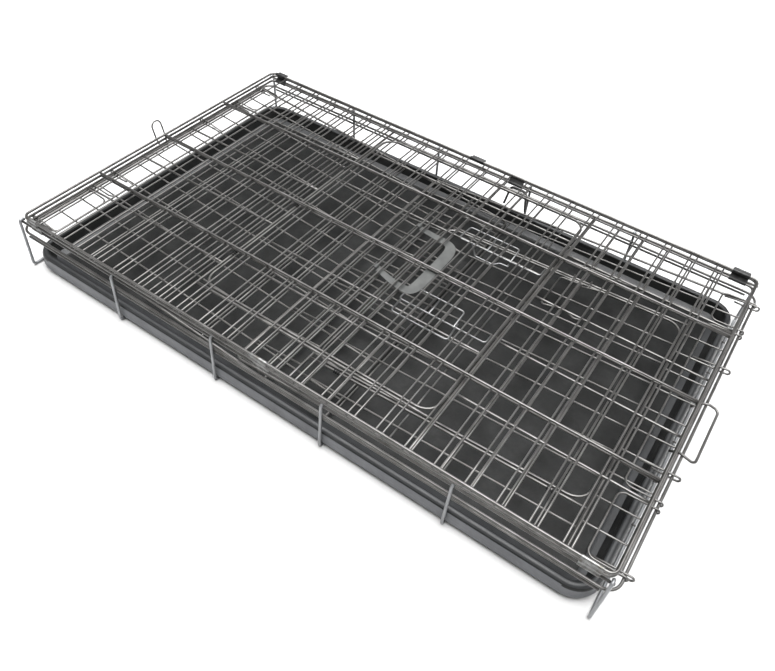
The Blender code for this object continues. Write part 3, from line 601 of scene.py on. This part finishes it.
curve = smooth_line([(*q, w) for q, w in zip(HANDLE_LINE, HANDLE_HALF)], 5)
last = len(curve) - 1
RISE_LENGTH, END_DROP, HALF_THICK = 0.030, 0.0036, 0.00085
SECTION = [(1, 0.35), (0.94, 0.8), (0.8, 1), (0, 1), (-0.8, 1), (-0.94, 0.8), (-1, 0.35),
           (-1, -0.35), (-0.94, -0.8), (-0.8, -1), (0, -1), (0.8, -1), (0.94, -0.8), (1, -0.35)]
path, half_widths, rings = [], [], []
for x, y, w in curve:
    share = min(1.0, max(x - WIRE_X, 0.0) / RISE_LENGTH)
    ease = 3 * share ** 2 - 2 * share ** 3
    path.append(Vector((x, y, HANDLE_END_Z - END_DROP + (flat_z - HANDLE_END_Z + END_DROP) * ease)))
    half_widths.append(w)
for i, p in enumerate(path):
    t = (path[min(i + 1, last)] - path[max(i - 1, 0)])
    across = Vector((0, 0, 1)).cross(t).normalized()
    rings.append([p + across * half_widths[i] * u + Vector((0, 0, HALF_THICK * v))
                  for u, v in SECTION])
b.loft(rings)
for y in (hy0, hy1):
    prof = [(HANDLE_END_X + 0.0032 * math.cos(t), HANDLE_END_Z + 0.0032 * math.sin(t))
            for t in np.linspace(-math.pi * 0.55, math.pi * 1.35, 18)]
    # a rolled end round the wire, extruded along Y
    p = np.array(prof)
    t = np.gradient(p, axis=0)
    t /= np.linalg.norm(t, axis=1)[:, None]
    nrm = np.stack([-t[:, 1], t[:, 0]], 1) * 0.0007
    outline = np.vstack([p + nrm, (p - nrm)[::-1]])
    n = len(outline)
    verts, faces = [], []
    for yy in (y - 0.006, y - 0.0056, y + 0.0056, y + 0.006):
        verts += [(x, yy, z) for x, z in outline]
    for i in range(3):
        for k in range(n):
            m = (k + 1) % n
            faces.append((i * n + k, i * n + m, (i + 1) * n + m, (i + 1) * n + k))
    for start, flip in ((0, False), (3 * n, True)):
        for k in range(n // 2 - 1):
            q = (start + k, start + k + 1, start + n - 2 - k, start + n - 1 - k)
            faces.append(q if flip else q[::-1])
    b.add(verts, faces)
b.piece("carry_handle_strap", HANDLE, "carry_handle", ["carry_handle"], sharp=40)


# ================================================================ hinge clips
def eight(first, second, r, pinch=0.45, steps=11):
    """Outline of a sheet rolled round two wires, waisted between them, open at its seam."""
    a, c = np.array(first), np.array(second)
    axis = (c - a) / np.linalg.norm(c - a)
    side = np.array([-axis[1], axis[0]])
    pts = []
    for t in np.linspace(math.radians(-62), math.radians(238), steps * 2):
        pts.append(c + r * (axis * math.sin(t) + side * -math.cos(t)))
    for t in np.linspace(math.radians(-58), math.radians(228), steps * 2):
        pts.append(a + r * (-axis * math.sin(t) + side * math.cos(t)))
    return pts


def clip_piece(name, node, body, first, second, mat):
    lo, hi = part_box(node)
    b = Builder()
    b.band(eight(first, second, CLIP_R), SHEET, lo.x, hi.x)
    b.piece(name, mat, body, [node], sharp=45)


LEG_X = (-0.622, -0.366, -0.120, 0.120, 0.366, 0.622)
FOOT_Y, RAIL_Y, RAIL_Z, RING_Z = 0.3834, 0.3735, 0.1085, 0.085
RAIL = (-RAIL_Y, RAIL_Z)
A_LOW = (-RAIL_Y, front_z)
A_TOP = (front_box[3], front_z)
R_FRONT = (roof_box[2], roof_z)
R_REAR = (roof_box[3], roof_z)
T_FRONT = (back_box[2], back_z)
T_REAR = (back_box[3], back_z)
for tag in ("left", "middle", "right"):
    clip_piece("rail_clip_%s_sheet" % tag, "rail_clip_" + tag, "base", RAIL, A_LOW, ZINC)
    clip_piece("roof_clip_%s_sheet" % tag, "roof_clip_" + tag, "roof", R_FRONT, T_FRONT, ZINC)
    clip_piece("rear_clip_%s_sheet" % tag, "rear_clip_" + tag, "front_panel", A_TOP, R_REAR, BLACK)
    lo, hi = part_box("back_hook_" + tag)
    b = Builder()
    prof = [(T_REAR[0] + CLIP_R * math.cos(t), T_REAR[1] + CLIP_R * math.sin(t))
            for t in np.linspace(math.radians(20), math.radians(330), 22)]
    prof += [(T_REAR[0] + 0.0045, T_REAR[1] - 0.0019), (T_REAR[0] + 0.009, T_REAR[1] - 0.0019),
             (hi.y - 0.0012, T_REAR[1] - 0.0016), (hi.y - 0.0004, T_REAR[1] - 0.0008)]
    b.band(prof, SHEET, lo.x, hi.x)
    b.piece("back_hook_%s_sheet" % tag, BLACK, "back_panel", ["back_hook_" + tag],
            sharp=45)

# ================================================================ base
end_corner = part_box("base_end_right")[1]
RING_X, RING_Y = end_corner.x - BAR, end_corner.y - BAR
hook_r = R_LEG + R_FRAME + GAP
legs = Builder()
for x in LEG_X:
    hook = [Vector((x, RAIL_Y + hook_r * math.cos(t), RAIL_Z + hook_r * math.sin(t)))
            for t in np.linspace(math.radians(150), 0, 10)]
    below = fillet([(x, RAIL_Y + hook_r, RAIL_Z - 0.004), (x, FOOT_Y, R_LEG), (x, 0.30, R_LEG)],
                   0.007)
    right = hook + below
    left = [Vector((p.x, -p.y, p.z)) for p in right]
    legs.tube(right + left[::-1], R_LEG, 12)
legs.piece("base_u_wires", WIRE_LIGHT, "base",
           ["base_floor_grid", "base_wall_front", "base_wall_back"])
b = Builder()
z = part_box("tray_floor")[0].z - R_FLOOR - GAP
for i in range(7):
    y = -0.300 + 0.100 * i
    b.tube(bowed((LEG_X[0] - 0.002, y, z), (LEG_X[-1] + 0.002, y, z), 0.0006), R_FLOOR)
b.piece("base_floor_wires", WIRE, "base")

RAIL_END = 0.6255
b = Builder()
for side in (-1, 1):
    b.tube([(x, side * RAIL_Y, RAIL_Z) for x in np.linspace(-RAIL_END, RAIL_END, 15)], R_FRAME)
b.piece("base_rails", WIRE, "base")

b = Builder()
b.tube(rounded(-RING_X, RING_X, -RING_Y, RING_Y, 0.024, RING_Z, 8), R_FRAME, 12, closed=True)
# a second, lighter wire runs just under the ring along the front and the back
for side in (-1, 1):
    y, z = side * (RING_Y + 0.0004), RING_Z - 0.0085
    b.tube(bowed((-0.612, y, z), (0.612, y, z), 0.0004), R_LONG)
b.piece("base_ring", WIRE, "base", ["base_end_left", "base_end_right"])

# ================================================================ tray
TRAY_NODES = [n for n in frame["nodes"] if n.startswith("tray_") and n != "tray_stop"]
corners = [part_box(n) for n in TRAY_NODES]
lo = Vector([min(c[0][k] for c in corners) for k in range(3)])
hi = Vector([max(c[1][k] for c in corners) for k in range(3)])
TRAY_CORNER = 0.050


def tray_ring(inset, z):
    """The tray's outline, drawn in from its outermost edge, at one height."""
    x0, x1, y0, y1 = lo.x + inset, hi.x - inset, lo.y + inset, hi.y - inset
    r = max(TRAY_CORNER - inset, 0.012)
    pts = []
    for cx, cy, q in ((x1 - r, y1 - r, 0), (x0 + r, y1 - r, 90),
                      (x0 + r, y0 + r, 180), (x1 - r, y0 + r, 270)):
        pts += [tuple(p) for p in arc((cx, cy, z), r, q, q + 90, 12, ((1, 0, 0), (0, 1, 0)))]
    return pts


z0, z1 = lo.z, hi.z
t = 0.0022                               # wall thickness
# (inset, height): under the floor, up inside the rim, down the skirt, over the rim to the floor
profile = [(0.033, z0), (0.030, z0), (0.0275, z0 + 0.003), (0.0255, z0 + 0.008),
           (0.0145, z1 - t - 0.002), (0.012, z1 - t), (0.0065, z1 - t), (0.0035, z1 - t - 0.003),
           (0.0026, z1 - t - 0.008), (0.0026, z0 + 0.0090), (0.0020, z0 + 0.0060),
           (0.0016, z0 + 0.0036), (0.0006, z0 + 0.0032), (0.0, z0 + 0.0040), (0.0, z0 + 0.0062),
           (0.0006, z0 + 0.0076), (0.0013, z0 + 0.0082), (0.0015, z1 - 0.0125),
           (0.0018, z1 - 0.0095), (0.0024, z1 - 0.0065), (0.0036, z1 - 0.0035),
           (0.0054, z1 - 0.0013), (0.0078, z1 - 0.0002), (0.0102, z1), (0.0126, z1 - 0.0006),
           (0.0146, z1 - 0.0024), (0.0160, z1 - 0.0052), (0.0172, z1 - 0.0095),
           (0.0196, z0 + t + 0.0120), (0.0208, z0 + t + 0.0085), (0.0224, z0 + t + 0.0066),
           (0.0250, z0 + t + 0.0056), (0.0330, z0 + t + 0.0042), (0.0370, z0 + t + 0.0030),
           (0.0395, z0 + t + 0.0012), (0.0420, z0 + t + 0.0003), (0.0450, z0 + t)]
b = Builder()
rings = [tray_ring(i, z) for i, z in profile]
b.loft(rings, cap_last=False)
# floor: a grid of the last ring drawn in to the middle
inner = rings[-1]
centre = Vector(((lo.x + hi.x) / 2, (lo.y + hi.y) / 2, z0 + t))
shrunk = []
for share in (0.995, 0.97, 0.9, 0.75, 0.55, 0.3, 0.08):
    shrunk.append([tuple(centre.lerp(Vector(p), share)) for p in inner])
b.loft([inner] + shrunk, cap_first=False)
pan = b.piece("tray_pan", TRAY, "tray", TRAY_NODES, sharp=80).data
pan.materials.append(SKIRT_PAINTED_REFLECTION)
pan.materials.append(RIM_PAINTED_SHEEN)
for face in pan.polygons:
    # slot 1 is the outer face, lightened as a painted reflection of the pale floor; slot 2 the rim's top and
    # the ledge inside it, lightened as a painted sheen;
    # inward is the distance in from the outline, round its corners too
    mid = face.center
    dx = max(abs(mid.x - centre.x) - (hi.x - lo.x) / 2 + TRAY_CORNER, 0.0)
    dy = max(abs(mid.y - centre.y) - (hi.y - lo.y) / 2 + TRAY_CORNER, 0.0)
    inward = TRAY_CORNER - math.hypot(dx, dy)
    if inward < 0.0022 and mid.z < z1 - 0.0065:
        face.material_index = 1
    # slot 2: painted sheen on the rim's top and on the ledge inside it
    elif (mid.z > z1 - 0.0030 and inward < 0.015) or (0.0208 < inward < 0.0400 and mid.z > z0 + t):
        face.material_index = 2

# ================================================================ loops on the end wires
lo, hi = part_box("tray_stop")
x1 = hi.x - R_LONG
y0, y1 = lo.y + R_LONG, hi.y - R_LONG
b = Builder()
pts = [(RING_X - 0.020, y0 + 0.010, RING_Z - 0.010), (RING_X - 0.006, y0 + 0.004, RING_Z + 0.0045),
       (RING_X + 0.004, y0 + 0.001, RING_Z + 0.0048), (x1, y0, RING_Z), (x1, y1, RING_Z),
       (RING_X + 0.004, y1 - 0.001, RING_Z + 0.0048), (RING_X - 0.006, y1 - 0.004, RING_Z + 0.0045),
       (RING_X - 0.020, y1 - 0.010, RING_Z - 0.010)]
b.tube(fillet(pts, 0.010, 7), R_LONG, 12)
b.piece("tray_stop_loop", WIRE, "tray_stop", ["tray_stop"])

loop_axis = JOINT["left_loop_swing"]["pos_m"]
lean = math.radians(19)
lo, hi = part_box("left_loop")
yc = (lo.y + hi.y) / 2
up = Vector((-math.sin(lean), 0, math.cos(lean)))
across = Vector((0, 1, 0))
base = Vector((loop_axis[0], yc, loop_axis[2]))
out = Vector((math.cos(lean), 0, math.sin(lean))) * -0.0043
LOOP_HALF = 0.0128
# along Y in half widths, up the loop in metres, and how far off the ring wire
LOOP_SHAPE = ((-0.55, -0.012, 1), (-0.8, 0.004, 1), (-1, 0.018, 1), (-1, 0.056, 0.3),
              (1, 0.056, 0.3), (1, 0.018, 1), (0.8, 0.004, 1), (0.55, -0.012, 1))
pts = [base + across * LOOP_HALF * u + up * h + out * off for u, h, off in LOOP_SHAPE]
b = Builder()
b.tube(fillet(pts, 0.011, 8), R_CROSS, 10)
b.piece("left_loop_wire", WIRE, "left_loop", ["left_loop"])

# ================================================================ rear bracket
lo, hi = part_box("rear_bracket")
b = Builder()
yc = (lo.y + hi.y) / 2
cx = (lo.x + hi.x) / 2
pts = fillet([(lo.x + 0.003, yc, lo.z), (cx - 0.0185, yc, hi.z - 0.003),
              (cx + 0.0185, yc, hi.z - 0.003), (hi.x - 0.003, yc, lo.z)], 0.009, 6)
EIGHT_SIDED = ((1, 0.7), (0.7, 1), (-0.7, 1), (-1, 0.7), (-1, -0.7), (-0.7, -1), (0.7, -1), (1, -0.7))
rings = []
for i, p in enumerate(pts):
    t = (pts[min(i + 1, len(pts) - 1)] - pts[max(i - 1, 0)]).normalized()
    n = t.cross(Vector((0, 1, 0))).normalized()
    rings.append([p + n * 0.0022 * u + Vector((0, 0.0028 * v, 0)) for u, v in EIGHT_SIDED])
b.loft(rings)
b.piece("rear_bracket_strap", BLACK, "base", ["rear_bracket"])


# ================================================================ end panels
END_X, END_HALF_Y, END_START, END_LENGTH = 0.635, 0.345, 0.0074, 0.735
END_EYE_Y = (-0.338, -0.137, 0.137, 0.338)
EYE_SLACK = 0.0009


def hairpin(b, sign, y):
    """Wire end bent round the ring wire as a long U, back to its own panel."""
    reach, leg = 0.0075, 0.055
    r = R_FRAME + R_CROSS + EYE_SLACK
    pts = [Vector((sign * leg, y, 0.0015)), Vector((sign * 0.014, y, r * 0.98))]
    pts += [Vector((-sign * (reach + r * math.sin(t)), y, r * math.cos(t)))
            for t in np.linspace(0.0, math.pi, 12)]
    pts += [Vector((sign * 0.014, y, -r * 0.98)), Vector((sign * leg * 0.62, y, -0.0030))]
    b.tube(pts, R_CROSS * 1.05, 10)


HOOPS = ((-0.343, -0.212), (-0.197, 0.238), (0.253, 0.343))
HOOP_REACH = 0.060


def hoop(b, sign, y0, y1):
    """A low wire hoop along the panel's foot; both its ends are eyes round the ring wire."""
    r = R_FRAME + R_CROSS + EYE_SLACK
    eye = [(-sign * r * math.sin(t), r * math.cos(t)) for t in np.linspace(2.6, 0.0, 9)]
    near = [Vector((x, y0, z)) for x, z in eye]
    far = [Vector((x, y1, z)) for x, z in eye[::-1]]
    turn = fillet([near[-1], (sign * HOOP_REACH, y0, r), (sign * HOOP_REACH, y1, r), far[0]], 0.013, 6)
    b.tube(near[:-1] + turn + far[1:], R_CROSS, 10)


def end_panel(name, body, sign, slope, replaced, door=None):
    """One end panel, folded inward; sign is the way it lies from its hinge wire along X."""
    m = Matrix.Translation((-sign * END_X, 0, RING_Z)) @ Matrix.Rotation(slope, 4, "Y")
    b = Builder()
    x0, x1 = sorted((sign * END_START, sign * END_LENGTH))
    b.tube(rounded(x0, x1, -END_HALF_Y, END_HALF_Y, 0.012, 0.0), R_FRAME, closed=True)
    cross_z = -(R_FRAME + R_CROSS - EMBED)
    wires = spread(-END_HALF_Y, END_HALF_Y, 12)
    if door is None:
        for y in wires:
            b.tube(bowed((x0 - 0.0012, y, 0), (x1 + 0.0012, y, 0), 0.0006), R_CROSS, 8)
        for u in (0.150, 0.300, 0.450, 0.600):
            b.tube(bowed((sign * u, -END_HALF_Y - 0.0012, cross_z),
                         (sign * u, END_HALF_Y + 0.0012, cross_z), 0.0005), R_CROSS * 1.1, 8)
            for y in wires:
                b.bead((sign * u, y, cross_z / 2), R_CROSS * 1.3, 0.8)
    else:
        u0, u1, y0, y1 = door
        for u in (u0, u1):
            b.tube(bowed((sign * u, -END_HALF_Y, 0), (sign * u, END_HALF_Y, 0), 0.0004), R_FRAME)
        for y in (y0, y1):
            b.tube(bowed((sign * u0, y, 0), (sign * u1, y, 0), 0.0004), R_FRAME)
        for y in wires:
            b.tube(bowed((sign * (END_START - 0.001), y, 0), (sign * u0, y, 0), 0.0003), R_CROSS, 8)
            b.tube(bowed((sign * u1, y, 0), (sign * (END_LENGTH + 0.001), y, 0), 0.0003), R_CROSS, 8)
        mid = (y0 - END_HALF_Y) / 2
        for y in (mid, *spread(y1, END_HALF_Y, 2)):
            b.tube(bowed((sign * u0, y, 0), (sign * u1, y, 0), 0.0004), R_CROSS, 8)
        for u in spread(u0 + 0.0043, u1 - 0.0043, 4):
            for low, high in ((-END_HALF_Y, y0), (y1, END_HALF_Y)):
                b.tube(bowed((sign * u, low - 0.001, cross_z), (sign * u, high + 0.001, cross_z),
                             0.0003), R_CROSS, 8)
        u = (u1 + END_LENGTH) / 2
        b.tube(bowed((sign * u, -END_HALF_Y - 0.001, cross_z),
                     (sign * u, END_HALF_Y + 0.001, cross_z), 0.0004), R_CROSS, 8)
    for y in END_EYE_Y:
        hairpin(b, sign, y)
    for y0, y1 in HOOPS:
        hoop(b, sign, y0, y1)
    b.piece(name, WIRE, body, replaced, matrix=m)
    return m


end_panel("left_end_wires", "left_end_panel", 1, math.radians(5.15), ["left_end_panel"])
DOOR = (0.088, 0.627, -0.269, 0.213)     # the opening: from the hinge wire, then along Y
RIGHT_M = end_panel("right_end_wires", "right_end_panel", -1, math.radians(-3.0),
                    ["right_end_bottom", "right_end_top", "right_end_front", "right_end_back"], DOOR)

b = Builder()
x0, x1, y0, y1 = -DOOR[1] + 0.007, -DOOR[0] - 0.007, DOOR[2] + 0.007, DOOR[3] - 0.007
b.tube(rounded(x0, x1, y0, y1, DOOR_CORNER, 0.0), R_FRAME, closed=True)
cross_z = -(R_FRAME + R_CROSS - EMBED)
for y in spread(y0, y1, 7):
    b.tube(bowed((x0 - 0.001, y, 0), (x1 + 0.001, y, 0), 0.0004), R_CROSS, 8)
for x in spread(x0, x1, 4):
    b.tube(bowed((x, y0 - 0.001, cross_z), (x, y1 + 0.001, cross_z), 0.0004), R_CROSS, 8)
    for y in spread(y0, y1, 7):
        b.bead((x, y, cross_z / 2), R_CROSS * 1.3, 0.8)
b.piece("end_door_wires", WIRE, "end_door", ["end_door"], matrix=RIGHT_M)

for i, u in enumerate((0.150, 0.565)):
    b = Builder()
    for k in (-0.0046, 0.0, 0.0046):
        hinge_turn(b, (-u + k, DOOR[2], 0), (0, 1, 0), 0.0052, 0.0013)
    b.piece("end_hinge_%d" % (i + 1), BLACK, "end_door", ["end_hinge_eye_%d" % (i + 1)],
            matrix=RIGHT_M)

b = Builder()
bz = R_FRAME * 0.886 + R_CROSS + 0.0002
lx0, lx1, ly0, ly1 = -0.347, -0.263, 0.099, 0.198
b.tube(bent([(-0.300, ly1, bz), (lx0, ly1 - 0.003, bz), (lx0 + 0.0005, ly0 + 0.001, bz),
             (-0.306, ly0 + 0.011, bz), (-0.291, ly0 + 0.007, bz), (-0.276, ly0, bz),
             (lx1, ly0 + 0.003, bz), (lx1, ly1 + 0.004, bz), (-0.300, ly1 - 0.006, bz)]), R_CROSS, 10)
for x in (-0.325, -0.288):
    b.tube([(x, ly1 - 0.004, bz), (x, ly1 + 0.01, bz), (x, 0.2185, bz)], R_CROSS, 8)
b.piece("end_latch_wire", WIRE, "end_latch", ["end_latch"], matrix=RIGHT_M)

# ================================================================ stage
FLOOR_HALF, FLOOR_Z = 6.0, -0.0004
floor_mesh = bpy.data.meshes.new("floor")
floor_mesh.from_pydata([(x * FLOOR_HALF, y * FLOOR_HALF, FLOOR_Z)
                        for x, y in ((-1, -1), (1, -1), (1, 1), (-1, 1))], [], [(0, 1, 2, 3)])


def floor_look(tree, shader):
    shader.inputs["Roughness"].default_value = 0.8
    shader.inputs["Base Color"].default_value = (0.5, 0.5, 0.5, 1)


floor_mesh.materials.append(material("floor_pale", floor_look))
floor = bpy.data.objects.new("floor", floor_mesh)
bpy.context.scene.collection.objects.link(floor)
SKY = 13.0                               # strength of the overhead light


def sky_look(tree):
    """A big soft light overhead, dim towards the horizon; the camera sees it plain white."""
    coord = tree.nodes.new("ShaderNodeTexCoord")
    split = tree.nodes.new("ShaderNodeSeparateXYZ")
    tree.links.new(coord.outputs["Generated"], split.inputs["Vector"])
    stops = [(0.0, grey(0.005)), (0.50, grey(0.008)), (0.74, grey(0.030)), (0.82, grey(0.16)),
             (0.89, grey(0.32)), (0.95, grey(1.0)), (1.0, grey(1.0))]
    sky = tree.nodes["Background"]
    sky.inputs["Strength"].default_value = SKY
    tree.links.new(ramp(tree, split.outputs["Z"], stops), sky.inputs["Color"])
    plain = tree.nodes.new("ShaderNodeBackground")
    plain.inputs["Color"].default_value = (1, 1, 1, 1)
    plain.inputs["Strength"].default_value = 0.95
    path_of = tree.nodes.new("ShaderNodeLightPath")
    mix = tree.nodes.new("ShaderNodeMixShader")
    tree.links.new(path_of.outputs["Is Camera Ray"], mix.inputs["Fac"])
    tree.links.new(sky.outputs["Background"], mix.inputs[1])
    tree.links.new(plain.outputs["Background"], mix.inputs[2])
    tree.links.new(mix.outputs["Shader"], tree.nodes["World Output"].inputs["Surface"])


world = bpy.data.worlds.new("studio")
world.use_nodes = True
sky_look(world.node_tree)
bpy.context.scene.world = world


def area(name, where, target, size, power):
    data = bpy.data.lights.new(name, "AREA")
    data.shape = "RECTANGLE"
    data.size, data.size_y = size
    data.energy = power
    obj = bpy.data.objects.new(name, data)
    bpy.context.scene.collection.objects.link(obj)
    obj.location = where
    obj.rotation_euler = (Vector(target) - Vector(where)).to_track_quat("-Z", "Y").to_euler()


area("key", (-0.9, 1.5, 2.6), (0.1, 0, 0.1), (0.9, 0.7), 14)

cam_data = bpy.data.cameras.new("camera")
cam_data.sensor_width = 36.0
cam_data.sensor_fit = "HORIZONTAL"
cam_data.lens = 33.42
cam = bpy.data.objects.new("camera", cam_data)
bpy.context.scene.collection.objects.link(cam)
# the camera's own axes: to its right, away from what it looks at, and up
back = Vector((0.33849, -0.58185, 0.73951)).normalized()
up = back.cross(Vector((0.82410, 0.56264, 0.06548)).normalized()).normalized()
right = up.cross(back)
view = Matrix((right, up, back)).transposed().to_4x4()
view.translation = (0.5473, -0.9235, 1.0490)
cam.matrix_world = view
bpy.context.scene.camera = cam
bpy.context.scene.view_settings.view_transform = "Standard"
